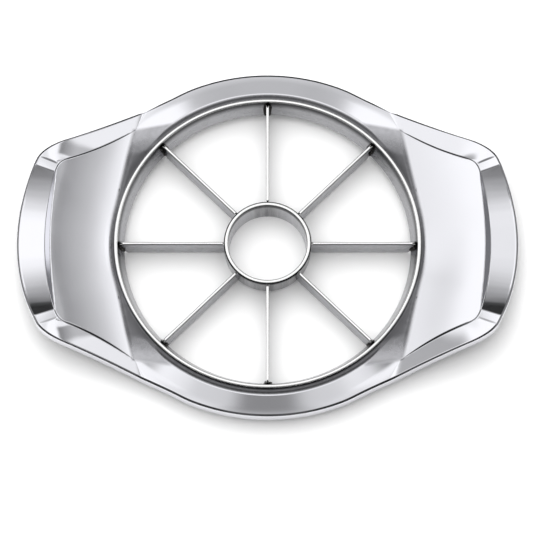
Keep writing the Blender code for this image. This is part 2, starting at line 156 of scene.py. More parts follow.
def map_range(tree, source, low, high, start=0.0, end=1.0, eased=True):
    """Value carried from the range low to high to the range start to end, and held at its ends."""
    node = tree.nodes.new("ShaderNodeMapRange")
    node.interpolation_type = "SMOOTHSTEP" if eased else "LINEAR"
    names = ("Value", "From Min", "From Max", "To Min", "To Max")
    for value, name in zip((source, low, high, start, end), names):
        feed(tree, value, node.inputs[name])
    return node.outputs["Result"]


def mix(tree, share, first, second, blend="MIX"):
    """Colour that goes from first to second as the share goes from 0 to 1."""
    node = tree.nodes.new("ShaderNodeMix")
    node.data_type = "RGBA"
    node.blend_type = blend
    for value, name in ((share, "Factor"), (first, "A"), (second, "B")):
        feed(tree, value, node.inputs[name])
    return node.outputs["Result"]


def math_node(tree, operation, *values):
    """Result of one operation on sockets or plain numbers."""
    node = tree.nodes.new("ShaderNodeMath")
    node.operation = operation
    for value, socket in zip(values, node.inputs):
        feed(tree, value, socket)
    return node.outputs["Value"]


def oval(tree, axes, x_middle, y_middle, x_radius, y_radius):
    """Share from 1 in the middle of an oval to 0 at its edge: the squares of x and y over its radii,
    added up."""
    x_share = math_node(tree, "DIVIDE", math_node(tree, "SUBTRACT", axes["X"], x_middle), x_radius)
    y_share = math_node(tree, "DIVIDE", math_node(tree, "SUBTRACT", axes["Y"], y_middle), y_radius)
    squares = [math_node(tree, "POWER", side, 2.0) for side in (x_share, y_share)]
    return map_range(tree, math_node(tree, "ADD", *squares), 1.0, 0.0)


world = bpy.data.worlds.new("studio")
world.use_nodes = True
bpy.context.scene.world = world
sky = world.node_tree
looked_along = split_axes(sky, sky.nodes.new("ShaderNodeTexCoord").outputs["Generated"])
off_middle = math_node(sky, "ABSOLUTE", looked_along["X"])
back_share = map_range(sky, looked_along["Y"], -1.0, 1.0, eased=False)
strips = [ramp(sky, back_share, [((back + 1.0) / 2.0, level * BRIGHTEST) for back, level in stops])
          for stops in (CENTRE_STOPS, END_STOPS, OUTER_STOPS, SIDE_STOPS)]
overhead = strips[0]
for edges, strip in zip(STRIP_EDGES, strips[1:]):
    overhead = mix(sky, map_range(sky, off_middle, *edges), overhead, strip)
for *place, level in (SOUTH_EAST_FLANK, SOUTH_EAST_SHADE, SOUTH_EAST_TIP, SOUTH_WEST_TIP, EAST_BAND,
                      EAST_PAD):
    overhead = mix(sky, oval(sky, looked_along, *place), overhead, (level, level, level, 1.0), "MULTIPLY")
off_blind = math_node(sky, "ABSOLUTE", math_node(sky, "SUBTRACT", looked_along["Y"], BLIND_MIDDLE))
in_blind = map_range(sky, off_blind, *BLIND_HALF)
overhead = mix(sky, in_blind, overhead, ramp(sky, looked_along["X"], BLIND_STOPS, "LINEAR"), "MULTIPLY")
low = map_range(sky, off_middle, *LOW_SIDE_FROM, LOW_CLOTH_LEVEL, LOW_SIDE_LEVEL)
opening = math_node(sky, "MULTIPLY", looked_along["X"], -WEST_OPENING)
above_cloth = map_range(sky, math_node(sky, "ADD", looked_along["Z"], opening), *LOW_CLOTH)
studio = mix(sky, above_cloth, low, overhead)
ambient = AMBIENT_LEVEL
for axis, rise in zip("XYZ", AMBIENT_SLANT):
    ambient = math_node(sky, "ADD", math_node(sky, "MULTIPLY", looked_along[axis], rise), ambient)
ambient = math_node(sky, "MAXIMUM", ambient, 0.0)
mirrored = sky.nodes.new("ShaderNodeLightPath").outputs["Is Glossy Ray"]
feed(sky, mix(sky, mirrored, ambient, studio), sky.nodes["Background"].inputs["Color"])

key = bpy.data.lights.new("key", "SUN")
key.energy = KEY_STRENGTH
key.angle = KEY_SOFTNESS
key_object = bpy.data.objects.new("key", key)
key_object.rotation_euler = KEY_TILT
key_object.visible_glossy = False
bpy.context.scene.collection.objects.link(key_object)

floor_mesh = bpy.data.meshes.new("floor")
half_floor = FLOOR_SIZE / 2
floor_mesh.from_pydata([(-half_floor, -half_floor, 0.0), (half_floor, -half_floor, 0.0),
                        (half_floor, half_floor, 0.0), (-half_floor, half_floor, 0.0)], [], [(0, 1, 2, 3)])
floor = bpy.data.objects.new("floor", floor_mesh)
bpy.context.scene.collection.objects.link(floor)
floor_finish = bpy.data.materials.new("floor_paper")
floor_finish.use_nodes = True
floor_shader = floor_finish.node_tree.nodes["Principled BSDF"]
floor_shader.inputs["Base Color"].default_value = (*FLOOR_COLOUR, 1.0)
floor_shader.inputs["Roughness"].default_value = 1.0
floor_shader.inputs["Specular IOR Level"].default_value = 0.0
floor_mesh.materials.append(floor_finish)


# Cast frame: one zinc die casting, polished and chrome plated. A ring carries the hoop, and two
# wings with raised thumb pads are the handles. The top is one height function of the plan, with
# each edge rounded as polishing does; sides and the pocket underneath complete its closed section.
MM = 0.001
TURN_LIMIT = math.radians(75.0)
BODY_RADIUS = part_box("frame")[1].y
WING_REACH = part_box("frame")[1].x
BODY_SWELL = 2.9 * MM
BODY_FROM = math.radians(56.0)
BODY_OVER = math.radians(12.0)
WING_TIP_RADIUS = 68.3 * MM
FLANK_FACING = math.radians(65.0)
FLANK_HOLLOW_AT = 25.0 * MM
FLANK_HOLLOW_RADIUS = 333.0 * MM
FLANK_INNER_SHARE = 0.5
OUTLINE_CORNER = 5.0 * MM
GROOVE_RADIUS = 51.6 * MM
GROOVE_DROP = 1.5 * MM
GROOVE_FALL = 0.28
GROOVE_SWEEP = 5.5 * MM
CREST_RADIUS = 52.9 * MM
CREST_DROP = 1.15 * MM
CREST_FACING = math.radians(81.0)
CREST_OFFSET = 47.0 * MM
CREST_ROLL = 28.0 * MM
CREST_STEEPNESS = 0.75
RING_SLOPE = 0.125
FLANK_PLANE = (-12.50 * MM, 0.196, 0.045)
CORNER_LEVEL = 3.1 * MM
CORNER_ROLL = 1.6 * MM
VALLEY_BLEND = 0.05 * MM
PAD_REACH = 72.0 * MM
PAD_LAP = 0.3 * MM
PAD_END_LIFT = 3.0 * MM
PAD_SLOPE = 0.13
PAD_ROLL_LENGTH = 20.0 * MM
PAD_ROLL_DROP = 1.4 * MM
PAD_ROLL_LIMIT = 1.3
UNDER_PAD_SLOPE = 3.0
SHOULDER_FACING = math.radians(12.3)
SHOULDER_OFFSET = 52.2 * MM
SHOULDER_WALL = 0.75 * MM
SHOULDER_STEEPNESS = 0.55
FOOT_REACH = 74.4 * MM
FOOT_END_RADIUS = 90.0 * MM
FOOT_FLANK_FACING = math.radians(64.0)
FOOT_FLANK_OFFSET = 55.03 * MM
FOOT_HOLLOW = (37.4 * MM, 108.0 * MM)
END_WALL_STEEPNESS = 1.9
FLANK_WALL_STEEPNESS = 1.6
# Creases and points of the wing's end: degrees from the wing's axis, and mm over the rim's top or, for
# the curl, over the band.
FIRST_CREASE = 19.0
SECOND_CREASE = 21.5
END_EDGE = ((0.0, -0.90), (3.0, -0.86), (6.0, -0.70), (9.5, -0.32), (13.0, 0.40), (16.0, 1.45), (19.0, 3.00))
END_FOOT = ((0.0, -0.60), (3.0, -0.57), (6.0, -0.43), (9.5, -0.10), (13.0, 0.50), (16.0, 1.26), (19.0, 2.40))
FOOT_CURL = ((0.0, 0.35), (21.5, 0.35), (25.0, 0.15), (31.0, 0.0), (90.0, 0.0))
SHOULDER_BLEND = 0.3 * MM
RECESS_BLEND = 0.5 * MM
EDGE_BLEND = 0.35 * MM
EDGE_FADE = 1.0 * MM
# Dull finish and painted shade of the recess: how much of its fade is left at its edge, the fade's
# width, and its strength at the crest line, which grows inwards and by the hoop.
RECESS_FADE = (0.75, 1.5 * MM)
RECESS_HALF = 0.5
RECESS_DARK_BY = 9.0 * MM
RECESS_DARK_INSIDE = 2.0 * MM
CORNER_BLEND = 4.5 * MM
CREST_BLEND = 0.9 * MM
FRAME_WALL = 2.0 * MM
FRAME_SIDE = 4.0 * MM
# Chamfer along the outline: its width, its drop, and how much more it drops where it faces the tip.
EDGE_CHAMFER = (0.65 * MM, 0.31 * MM, 0.11 * MM)
EDGE_ROUND = 0.1 * MM
LEAN_STEP = 0.002
HOOP_DEPTH = RIM_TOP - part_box("blade_hoop")[0].z
BORE_TOP_RADIUS = 51.1 * MM
BORE_FOOT_RADIUS = 48.98 * MM
CASTING_DRAFT = 0.6 * MM
# Rays over a quarter turn, as (from, to, step) in degrees.
ANGLE_SPANS = ((0.0, 17.0, 0.7), (17.0, 23.5, 0.25), (23.5, 37.0, 0.5), (37.0, 45.0, 0.2), (45.0, 60.0, 0.5),
               (60.0, 90.0, 1.0))
ROW_SAMPLES = 900
TOP_ROWS = 92
BEND_WEIGHT = 6.0
BEND_LIMIT = 1.5
BEND_SPREAD = 25
BEND_NEIGHBOURS = 3
ROUND_STEPS = 5
TRIM_LIMIT = 0.48
SHORTEST_SIDE = 1e-6 * MM


def smooth(share):
    """Step from 0 to 1 that is eased at both ends: three times the square less twice the cube."""
    share = np.clip(share, 0.0, 1.0)
    return share * share * (3.0 - 2.0 * share)


def soft_min(first, second, blend):
    """The smaller of two lengths, with a parabola of width blend where they cross."""
    near = np.maximum(blend - np.abs(first - second), 0.0) / blend
    return np.minimum(first, second) - near * near * blend / 4.0


def soft_max(first, second, blend):
    """The larger of two lengths, rounded in the same way."""
    return -soft_min(-first, -second, blend)


def through_points(where, places, values):
    """Curve through given points: cubics whose slope at a point is the harmonic mean of its sides,
    and at either end that of the end run."""
    places = np.array(places)
    values = np.array(values)
    runs = np.diff(places)
    slopes = np.diff(values) / runs
    product = slopes[1:] * slopes[:-1]
    total = slopes[1:] + slopes[:-1]
    inner = np.where(product > 0, 2 * product / np.where(total == 0, 1.0, total), 0.0)
    tangents = np.concatenate((slopes[:1], inner, slopes[-1:]))
    index = np.clip(np.searchsorted(places, where, side="right") - 1, 0, len(runs) - 1)
    share = np.clip((where - places[index]) / runs[index], 0.0, 1.0)
    rise = values[index + 1] - values[index]
    bend = tangents[index] * (1 - share) - tangents[index + 1] * share
    return values[index] + rise * share * share * (3 - 2 * share) + runs[index] * share * (1 - share) * bend


def to_line(angle, facing, offset):
    """Distance along a ray from the middle to a line: offset over the cosine of the angle between."""
    turn = np.clip(np.abs(angle - facing), 0.0, TURN_LIMIT)
    return offset / np.cos(turn)


def to_arc(angle, reach, radius):
    """Distance along a ray to a circle whose far side crosses the wing's axis at reach."""
    middle = reach - radius
    return middle * np.cos(angle) + np.sqrt(radius ** 2 - (middle * np.sin(angle)) ** 2)


def outline_radius(angle):
    """Outline: a body that swells with the squared cosine gives way to a flank hollowed by a long arc,
    and past a rounded corner to the arc of the wing's tip."""
    body = BODY_RADIUS + BODY_SWELL * np.cos(angle) ** 2
    flank = to_line(angle, FLANK_FACING, BODY_RADIUS)
    along = flank * np.sin(FLANK_FACING - angle) - FLANK_HOLLOW_AT
    hollow = along ** 2 / (2 * FLANK_HOLLOW_RADIUS) * np.where(along > 0, 1.0, FLANK_INNER_SHARE)
    flank = flank + hollow / np.cos(np.minimum(np.abs(FLANK_FACING - angle), TURN_LIMIT))
    on_body = smooth((angle - BODY_FROM) / BODY_OVER)
    side = flank * (1 - on_body) + body * on_body
    return soft_min(side, to_arc(angle, WING_REACH, WING_TIP_RADIUS), OUTLINE_CORNER)


def band_foot(angle):
    """Distance along a ray to the foot of the pad's walls, for the wing's end only."""
    flank = to_line(angle, FOOT_FLANK_FACING, FOOT_FLANK_OFFSET)
    return soft_min(flank, to_arc(angle, FOOT_REACH, FOOT_END_RADIUS), OUTLINE_CORNER / 2)


def flank_height(angle, radius):
    """Band past the wing's corner: the higher of a plane along the flank, constant + a|x| + b|y|, levelled
    off at the corner, and a shallow cone round the ring. They meet in a valley."""
    level, rise_along, rise_across = FLANK_PLANE
    flank = level + rise_along * radius * np.cos(angle) + rise_across * radius * np.sin(angle)
    flank = soft_min(flank, CORNER_LEVEL + 0 * flank, CORNER_ROLL)
    ring = -CREST_DROP - RING_SLOPE * (radius - CREST_RADIUS)
    return RIM_TOP + soft_max(flank, ring, VALLEY_BLEND)


def band_height(angle, radius):
    """Band between the pad and the outline: listed heights along its foot and its edge over the wing's
    end, joined straight across and across the corner between two creases, then the flank."""
    degrees = np.degrees(angle)
    foot = band_foot(angle)
    across = (radius - foot) / (outline_radius(angle) - foot)
    curl = MM * through_points(degrees, *zip(*FOOT_CURL)) * np.clip(1 - across, 0.0, 1.0)
    second = math.radians(SECOND_CREASE)
    second_foot = band_foot(second)
    corner_foot = flank_height(second, second_foot) + MM * FOOT_CURL[0][1]
    corner_edge = flank_height(second, outline_radius(second))
    run = np.clip((degrees - FIRST_CREASE) / (SECOND_CREASE - FIRST_CREASE), 0.0, 1.0)
    edge = RIM_TOP + MM * through_points(degrees, *zip(*END_EDGE))
    foot_z = RIM_TOP + MM * through_points(degrees, *zip(*END_FOOT))
    edge = edge + (corner_edge - edge) * run
    foot_z = foot_z + (corner_foot - foot_z) * run
    wing_end = foot_z + (edge - foot_z) * across
    return np.where(degrees < SECOND_CREASE, wing_end, flank_height(angle, radius) + curl)


def groove_height(radius):
    """Recess round the hoop: it falls outwards along a parabola that levels off after the sweep."""
    sweep = np.clip(radius - GROOVE_RADIUS, 0.0, GROOVE_SWEEP)
    return RIM_TOP - GROOVE_DROP - GROOVE_FALL * sweep * (1 - sweep / (2 * GROOVE_SWEEP))


def crown(angle, radius):
    """Height of the casting's top over a quarter of its plan, and two marks from 0 to 1: how dull it is as
    a recess, and so how darkened by painted shade, and how satin as a pad. The pad is the least of its
    top, its shoulder, which rises out of the recess, and its outer walls, which rise from the band. The
    band rolls off past a crest line between the pads and ends in a wall along the ring. The highest of
    pad, band and recess shows."""
    recess = groove_height(radius)
    turn = np.cos(np.maximum(angle, SHOULDER_FACING) - SHOULDER_FACING)
    on_shoulder = radius * turn - SHOULDER_OFFSET
    on_line = radius * np.cos(angle - CREST_FACING) - CREST_OFFSET
    on_ring = radius - CREST_RADIUS
    along = radius * np.sin(FOOT_FLANK_FACING - angle)
    hollow = (along - FOOT_HOLLOW[0]) ** 2 / (2 * FOOT_HOLLOW[1])
    on_flank = FOOT_FLANK_OFFSET + hollow - radius * np.cos(angle - FOOT_FLANK_FACING)
    end_middle = FOOT_REACH - FOOT_END_RADIUS
    on_end = FOOT_END_RADIUS - np.hypot(radius * np.cos(angle) - end_middle, radius * np.sin(angle))
    roll = np.clip(1.0 - on_shoulder / PAD_ROLL_LENGTH, 0.0, PAD_ROLL_LIMIT) ** 2
    pad = RIM_TOP + PAD_END_LIFT - PAD_SLOPE * (PAD_REACH - radius * np.cos(angle)) - PAD_ROLL_DROP * roll
    shoulder = groove_height(SHOULDER_OFFSET / turn) + SHOULDER_STEEPNESS * (on_shoulder + SHOULDER_WALL)
    band = band_height(angle, radius)
    rise = soft_min(END_WALL_STEEPNESS * on_end, FLANK_WALL_STEEPNESS * on_flank, CORNER_BLEND)
    walls = band + soft_max(rise, 0 * rise, EDGE_BLEND)
    block = soft_min(soft_min(pad, walls, EDGE_BLEND), shoulder, SHOULDER_BLEND)
    inside = np.clip(np.minimum(np.minimum(on_end, on_flank), on_shoulder + PAD_LAP), 0.0, None)
    wall = CREST_STEEPNESS * soft_max(-on_ring, 0 * on_ring, CREST_BLEND)
    roll_off = np.clip(-on_line, 0.0, None) ** 2 / (2 * CREST_ROLL)
    fall = np.maximum(wall, roll_off) * smooth(0.5 - on_shoulder / EDGE_FADE)
    band = band - UNDER_PAD_SLOPE * inside - fall
    height = soft_max(recess, np.maximum(block, band), RECESS_BLEND)
    # Painted shade: how far the recess's darker colour shows, deepest inwards and by the hoop.
    past_edge = np.maximum(on_shoulder, np.minimum(on_line, on_ring))
    sunk = smooth(RECESS_FADE[0] - past_edge / RECESS_FADE[1])
    darker = RECESS_HALF + (1 - RECESS_HALF) * np.clip(-on_line / RECESS_DARK_BY, 0.0, 1.0)
    darkest = smooth((GROOVE_RADIUS + RECESS_DARK_INSIDE - radius) / EDGE_FADE)
    padded = smooth(np.minimum(np.minimum(on_end, on_flank), on_shoulder) / EDGE_FADE)
    return height, sunk * np.maximum(darker, darkest), padded


def frame_top(angle):
    """Rows of the top from the recess to the outline's lip. On each ray they stand closest where the
    surface bends most: each takes an equal share of the sum of 1 + weight * root of the bend, which
    is first evened out along the ray and over its neighbours."""
    lip = outline_radius(angle) - EDGE_CHAMFER[0]
    share = np.linspace(0.0, 1.0, ROW_SAMPLES)[:, None]
    radius = GROOVE_RADIUS + (lip - GROOVE_RADIUS) * share
    height = crown(angle + 0 * radius, radius)[0]
    step = (lip - GROOVE_RADIUS) / (ROW_SAMPLES - 1)
    bend = np.zeros_like(radius)
    bend[1:-1] = np.abs(height[2:] - 2 * height[1:-1] + height[:-2]) / step ** 2
    density = 1.0 + BEND_WEIGHT * np.minimum(np.sqrt(bend * MM), BEND_LIMIT)
    window = np.hanning(BEND_SPREAD)
    window /= window.sum()
    spread = np.stack([np.convolve(column, window, mode="same") for column in density.T], axis=1)
    spread = np.maximum(spread, 1.0)
    shifts = range(-BEND_NEIGHBOURS, BEND_NEIGHBOURS + 1)
    turned = np.stack([np.roll(spread, shift, axis=1) for shift in shifts])
    total = np.cumsum(turned.mean(axis=0), axis=0)
    total = (total - total[0]) / (total[-1] - total[0])
    rows = np.stack([np.interp(np.linspace(0.0, 1.0, TOP_ROWS), total[:, i], radius[:, i])
                     for i in range(len(angle))], axis=1)
    height, sunk, padded = crown(angle + 0 * rows, rows)
    trims = [0.0] * (TOP_ROWS - 1) + [EDGE_ROUND]
    return [(rows[i], height[i], trims[i], sunk[i], padded[i]) for i in range(TOP_ROWS)]


def rounded(rows):
    """Round the corners of a closed section: each row is (radius, height, trim, marks...). A trimmed corner
    becomes a parabola between the points trim before and after it; trim 0 keeps the row as it is."""
    out = []
    count = len(rows)
    for index, (radius, height, trim, *marks) in enumerate(rows):
        here = np.stack([radius, height])
        marks = [mark + 0 * radius for mark in marks]
        if trim == 0:
            out.append(np.stack([*here, *marks]))
            continue
        before = np.stack(rows[index - 1][:2]) - here
        after = np.stack(rows[(index + 1) % count][:2]) - here
        ends = []
        for side in (before, after):
            length = np.maximum(np.sqrt((side ** 2).sum(axis=0)), SHORTEST_SIDE)
            ends.append(here + side * np.minimum(trim / length, TRIM_LIMIT))
        for share in np.linspace(0.0, 1.0, ROUND_STEPS):
            point = ends[0] * (1 - share) ** 2 + here * 2 * share * (1 - share) + ends[1] * share ** 2
            out.append(np.stack([*point, *marks]))
    return np.stack(out)


def frame_section(angle):
    """Closed section for each angle from the wing's axis: up the bore, over the top, down the side and
    back through the pocket. Each row also says how dull it is as a recess, and so how darkened by
    painted shade, and how satin as a pad."""
    outline = outline_radius(angle)
    none = 0 * angle
    lean = (outline_radius(angle + LEAN_STEP) - outline_radius(angle - LEAN_STEP)) / (2 * LEAN_STEP * outline)
    drop = EDGE_CHAMFER[1] + EDGE_CHAMFER[2] * np.cos(angle - np.arctan(lean)) ** 2
    edge_z = band_height(angle, outline - EDGE_CHAMFER[0])
    rows = [
        (BORE_FOOT_RADIUS + none, RIM_TOP - HOOP_DEPTH + none, 0.2 * MM, 1.0, 0.0),
        (BORE_TOP_RADIUS + none, RIM_TOP - GROOVE_DROP + none, 0.15 * MM, 1.0, 0.0),
    ]
    rows += frame_top(angle)
    ceiling = np.minimum(edge_z, RIM_TOP + CREST_DROP) - FRAME_WALL
    pocket_in = GROOVE_RADIUS + FRAME_WALL / 2
    pocket_mid = np.clip(outline - 3 * FRAME_WALL, pocket_in + 2 * CASTING_DRAFT, outline - 2 * FRAME_WALL)
    rows += [
        (outline, edge_z - drop / np.sqrt(1 + lean ** 2), EDGE_ROUND, 0.0, 0.0),
        (outline, edge_z - FRAME_SIDE, 0.4 * MM, 0.0, 0.0),
        (outline - FRAME_WALL, edge_z - FRAME_SIDE, 0.4 * MM, 1.0, 0.0),
        (outline - FRAME_WALL - CASTING_DRAFT / 2, ceiling, 0.6 * MM, 1.0, 0.0),
        (pocket_mid, ceiling, 0.0, 1.0, 0.0),
        (pocket_in + CASTING_DRAFT + none, RIM_TOP - GROOVE_DROP - FRAME_WALL + none, 0.4 * MM, 1.0, 0.0),
        (pocket_in - CASTING_DRAFT + none, RIM_TOP - HOOP_DEPTH + none, 0.3 * MM, 1.0, 0.0),
    ]
    return rounded(rows)


def add_surface(name, points, finish, closed_along=True, sharp=None):
    """Mesh of a grid of points, shape (along, across, 3): quads between neighbours. Across is always
    closed; along is closed, or else ends in a flat cap at either end."""
    along, across = points.shape[:2]
    first = np.arange(along if closed_along else along - 1)
    row, column = np.meshgrid(first, np.arange(across), indexing="ij")
    next_row = (row + 1) % along
    next_column = (column + 1) % across
    quads = np.stack([row * across + column, next_row * across + column,
                      next_row * across + next_column, row * across + next_column], axis=-1).reshape(-1, 4)
    corners = quads.reshape(-1)
    starts = np.arange(0, quads.size, 4)
    if not closed_along:
        starts = np.concatenate([starts, [quads.size, quads.size + across]])
        last = np.arange(across) + (along - 1) * across
        corners = np.concatenate([corners, np.arange(across), last[::-1]])
    mesh = bpy.data.meshes.new(name)
    mesh.vertices.add(along * across)
    mesh.vertices.foreach_set("co", points.reshape(-1).astype(np.float32))
    mesh.loops.add(len(corners))
    mesh.loops.foreach_set("vertex_index", corners.astype(np.int32))
    mesh.polygons.add(len(starts))
    mesh.polygons.foreach_set("loop_start", starts.astype(np.int32))
    mesh.update(calc_edges=True)
    mesh.validate()
    mesh.shade_smooth()
    if sharp is not None:
        mesh.set_sharp_from_angle(angle=math.radians(sharp))
    mesh.materials.append(finish)
    piece = bpy.data.objects.new(name, mesh)
    bpy.context.scene.collection.objects.link(piece)
    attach(piece, "root")
    return piece


def metal(name, colour, roughness):
    """Metal finish, with its node tree and its shader node."""
    finish = bpy.data.materials.new(name)
    finish.use_nodes = True
    shader = finish.node_tree.nodes["Principled BSDF"]
    shader.inputs["Base Color"].default_value = (*colour, 1.0)
    shader.inputs["Roughness"].default_value = roughness
    shader.inputs["Metallic"].default_value = 1.0
    return finish, finish.node_tree, shader


def node_group(name, inputs, outputs):
    """Shader node group with named inputs and outputs, each given as (name, kind of socket). Returns its
    tree, the sockets that hand its inputs over, and the sockets that take its results."""
    tree = bpy.data.node_groups.new(name, "ShaderNodeTree")
    for in_out, sockets in (("INPUT", inputs), ("OUTPUT", outputs)):
        for label, kind in sockets:
            tree.interface.new_socket(name=label, in_out=in_out, socket_type="NodeSocket" + kind)
    return tree, tree.nodes.new("NodeGroupInput").outputs, tree.nodes.new("NodeGroupOutput").inputs


def placed(tree, group, values):
    """Outputs of a node group placed in a material, with the values of its inputs by name."""
    node = tree.nodes.new("ShaderNodeGroup")
    node.node_tree = group
    for name, value in values.items():
        feed(tree, value, node.inputs[name])
    return node.outputs


# Grain of every metal here: noise in the object's own metres, with its cells per metre along X, Y and Z.
grain, given, made = node_group("grain", (("Cells", "Vector"), ("Detail", "Float"), ("Roughness", "Float")),
                                (("Value", "Float"),))
cells = grain.nodes.new("ShaderNodeMapping")
feed(grain, grain.nodes.new("ShaderNodeTexCoord").outputs["Object"], cells.inputs["Vector"])
feed(grain, given["Cells"], cells.inputs["Scale"])
cloud = grain.nodes.new("ShaderNodeTexNoise")
cloud.inputs["Scale"].default_value = 1.0
feed(grain, cells.outputs["Vector"], cloud.inputs["Vector"])
feed(grain, given["Detail"], cloud.inputs["Detail"])
feed(grain, given["Roughness"], cloud.inputs["Roughness"])
feed(grain, cloud.outputs["Fac"], made["Value"])


def noise(tree, cells_per_metre, detail=3.0, roughness=0.55):
    """Grain in a material. Most of it lies within GRAIN_SPAN."""
    values = {"Cells": cells_per_metre, "Detail": detail, "Roughness": roughness}
    return placed(tree, grain, values)["Value"]


def set_finish(tree, shader, colour, roughness, relief, depth):
    """Give a metal its colour, its roughness and a fine relief, whose depth is in metres."""
    raised = tree.nodes.new("ShaderNodeBump")
    raised.inputs["Strength"].default_value = 1.0
    raised.inputs["Distance"].default_value = depth
    feed(tree, relief, raised.inputs["Height"])
    normal = raised.outputs["Normal"]
    for value, name in ((colour, "Base Color"), (roughness, "Roughness"), (normal, "Normal")):
        feed(tree, value, shader.inputs[name])


def mark(tree, name):
    """Value of a mesh attribute."""
    node = tree.nodes.new("ShaderNodeAttribute")
    node.attribute_name = name
    return node.outputs["Fac"]


GRAIN_SPAN = (0.3, 0.7)
CHROME = (0.848, 0.85, 0.89)
# Painted shade: the darker colour of the recess, the bore and the pocket.
RECESS_SHADE_COLOUR = (0.21, 0.21, 0.222)
CHROME_ROUGHNESS = (0.05, 0.075)
SATIN_ROUGHNESS = (0.08, 0.105)
RECESS_ROUGHNESS = (0.28, 0.40)
SMUDGE_CELLS = (55.0, 55.0, 55.0)
SMUDGE_DETAIL = 4.0
SMUDGE_SPAN = (0.35, 0.7)
GRIT_CELLS = (700.0, 700.0, 700.0)
RIPPLE_CELLS = (38.0, 38.0, 38.0)
RIPPLE_DETAIL = 1.0
RIPPLE_DEPTH = 0.02 * MM

chrome, chrome_tree, chrome_shader = metal("chrome_plate", CHROME, CHROME_ROUGHNESS[0])
smudge = noise(chrome_tree, SMUDGE_CELLS, SMUDGE_DETAIL)
recess = mark(chrome_tree, "recess")
polished = map_range(chrome_tree, smudge, *SMUDGE_SPAN, *CHROME_ROUGHNESS)
satin = map_range(chrome_tree, smudge, *GRAIN_SPAN, *SATIN_ROUGHNESS)
gritty = map_range(chrome_tree, noise(chrome_tree, GRIT_CELLS), *GRAIN_SPAN, *RECESS_ROUGHNESS)
open_finish = mix(chrome_tree, mark(chrome_tree, "satin"), polished, satin)
# The recess mark makes the chrome rougher, and its darker colour there is painted shade.
chrome_colour = mix(chrome_tree, recess, (*CHROME, 1.0), (*RECESS_SHADE_COLOUR, 1.0))
chrome_roughness = mix(chrome_tree, recess, open_finish, gritty)
ripple = noise(chrome_tree, RIPPLE_CELLS, RIPPLE_DETAIL)
set_finish(chrome_tree, chrome_shader, chrome_colour, chrome_roughness, ripple, RIPPLE_DEPTH)

# Rays all the way round, mirrored from one quarter, closest where the outline and the pad turn.
quarter = np.radians(np.concatenate([np.linspace(start, end, round((end - start) / step), endpoint=False)
                                     for start, end, step in ANGLE_SPANS]))
turns = np.concatenate([quarter, [math.pi / 2], math.pi - quarter[:0:-1], math.pi + quarter, [1.5 * math.pi],
                        2 * math.pi - quarter[:0:-1]])
section = frame_section(np.arctan2(np.abs(np.sin(turns)), np.abs(np.cos(turns))))
reach = section[:, 0]
frame_points = np.stack([reach * np.cos(turns), reach * np.sin(turns), section[:, 1]], axis=-1)
cast_frame = add_surface("cast_frame", frame_points.transpose(1, 0, 2), chrome)
for name, column in (("recess", 2), ("satin", 3)):
    values = cast_frame.data.attributes.new(name, "FLOAT", "POINT")
    values.data.foreach_set("value", section[:, column].T.reshape(-1).astype(np.float32))
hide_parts("frame")


# Blade hoop: a ring pressed from stainless steel, with a rolled rim on top and a wall that narrows
# downwards. It sits in the frame's bore. The rim is polished and carries a painted highlight, painted
# shade darkens the wall's inner face below it, the wall is satin, and it is darker beside each blade.
HOOP_RIM_INNER = 50.0 * MM
HOOP_RIM_OUTER = 51.25 * MM
HOOP_NECK = 47.7 * MM
HOOP_WALL = 0.95 * MM
HOOP_RIM_DEPTH = 1.2 * MM
HOOP_TURNS = 720
BLADE_COUNT = 8
STEEL_COLOUR = (0.34, 0.34, 0.352)
STEEL_ROUGHNESS = 0.26
# Painted highlight: the colour of polished tops.
POLISH_HIGHLIGHT_COLOUR = (0.95, 0.95, 0.95)
POLISH_ROUGHNESS = 0.12
# Painted shade: the dark band under a rim or a blade's top edge.
PAINTED_SHADE_COLOUR = (0.05, 0.05, 0.052)
SCRATCH_DETAIL = 2.0
SCRATCH_DEPTH = 0.0008 * MM
HOOP_SHADE = (3.2 * MM, 0.9 * MM)
HOOP_SHADE_INSIDE = (0.35 * MM, 0.55 * MM)
HOOP_POLISH_HIGHLIGHT = (0.3 * MM, 0.16 * MM)
HOOP_WEAR_CELLS = (260.0, 260.0, 900.0)
HOOP_WEAR_DETAIL = 4.0
HOOP_WEAR = 0.06
HOOP_SCRATCH_CELLS = (120.0, 120.0, 2600.0)
DARK_BESIDE_BLADE_COLOUR = (0.05, 0.047, 0.045)
DARK_BESIDE_BLADE_WIDTH = (2.6 * MM, 0.6 * MM)
DARK_BESIDE_BLADE_CELLS = (1500.0, 1500.0, 1500.0)
DARK_BESIDE_BLADE_FRAY = 1.6 * MM


def own_place(tree):
    """X, Y and Z in the object's own metres, by name."""
    return split_axes(tree, tree.nodes.new("ShaderNodeTexCoord").outputs["Object"])


# Polished top of a steel piece: above one pair of heights the metal is polished and lightened by a
# painted highlight, and above a lower pair it is darkened by painted shade. Each share says how much of
# that shows.
TOP_INPUTS = ("Roughness", "Painted shade low", "Painted shade high", "Painted shade share", "Polish low", "Polish high", "Polish share")
polish_highlight_top, given, made = node_group(
    "polish_highlight_top", [("Colour", "Color")] + [(label, "Float") for label in TOP_INPUTS],
    (("Colour", "Color"), ("Roughness", "Float"), ("Polish highlight", "Float")))
height_up = own_place(polish_highlight_top)["Z"]
painted_shade = map_range(polish_highlight_top, height_up, given["Painted shade low"], given["Painted shade high"])
painted_shade = math_node(polish_highlight_top, "MULTIPLY", painted_shade, given["Painted shade share"])
polish_highlight = map_range(polish_highlight_top, height_up, given["Polish low"], given["Polish high"])
polish_highlight = math_node(polish_highlight_top, "MULTIPLY", polish_highlight, given["Polish share"])
colour = mix(polish_highlight_top, painted_shade, given["Colour"], (*PAINTED_SHADE_COLOUR, 1.0))
feed(polish_highlight_top, mix(polish_highlight_top, polish_highlight, colour, (*POLISH_HIGHLIGHT_COLOUR, 1.0)), made["Colour"])
